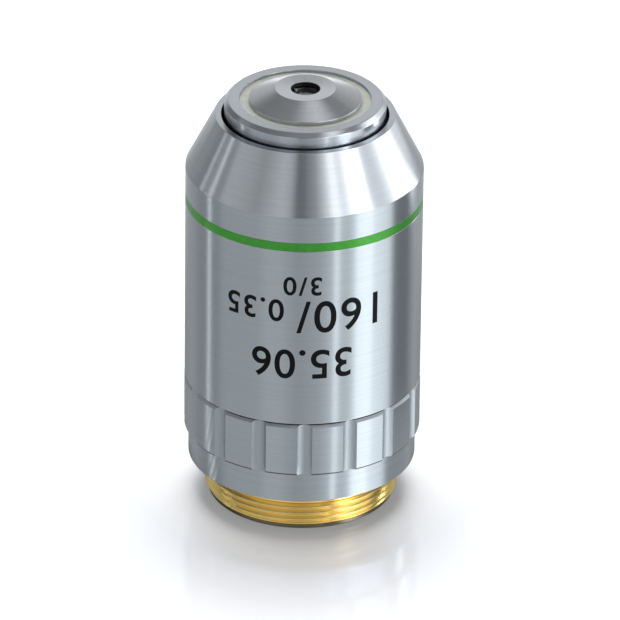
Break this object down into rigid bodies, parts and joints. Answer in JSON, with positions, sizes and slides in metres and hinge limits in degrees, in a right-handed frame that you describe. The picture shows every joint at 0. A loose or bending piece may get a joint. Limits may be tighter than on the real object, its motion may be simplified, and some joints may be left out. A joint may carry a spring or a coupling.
{
  "type": "microscope objective",
  "caption": "Microscope objective with a sprung front barrel, stacked lens cells, fluted grip ring, green colour ring and brass RMS mounting thread, standing on its rear end.",
  "frame": {"origin": "on the optical axis at the rear face, which is the face that the objective stands on", "axes": "+Z along the optical axis towards the front lens, -Y towards the marked side"},
  "size_m": [0.0246, 0.0246, 0.0463],
  "materials": {
    "satin_chrome": "satin turned chrome plate",
    "chromed_brass": "chrome plated brass, fine turned",
    "green_enamel": "green enamel",
    "bright_brass": "machined brass",
    "blackened_brass": "chemically blackened brass",
    "black_anodised": "black anodised",
    "steel": "spring and screw steel",
    "cream_cement": "cream optical cement",
    "coated_glass": "antireflection coated glass"
  },
  "bodies": {
    "housing": {"casing": "satin_chrome", "colour_band": "green_enamel", "grip_ring": "satin_chrome", "mount_body": "bright_brass", "rear_ring": "black_anodised", "guide_screws": "steel", "spring": "steel"},
    "lens_barrel": {"inner_barrel": "chromed_brass", "front_cell": "chromed_brass", "cement_bead": "cream_cement", "front_lens": "coated_glass", "parfocal_shim": "bright_brass", "meniscus_cell": "blackened_brass", "meniscus_lens": "coated_glass", "front_spacer": "blackened_brass", "doublet_1_cell": "blackened_brass", "doublet_1_crown": "coated_glass", "doublet_1_flint": "coated_glass", "spacer_tube": "blackened_brass", "doublet_2_cell": "blackened_brass", "doublet_2_crown": "coated_glass", "doublet_2_flint": "coated_glass", "aperture_stop": "black_anodised", "rear_cell": "blackened_brass", "rear_lens": "coated_glass", "lock_ring": "blackened_brass"}
  },
  "joints": [
    {"name": "nose_slide", "type": "slide", "parent": "housing", "child": "lens_barrel", "axis": [0, 0, 1], "range_m": [-0.002, 0], "stiffness_N_per_m": 500, "springref_m": 0.004, "deforming": ["spring"]}
  ]
}
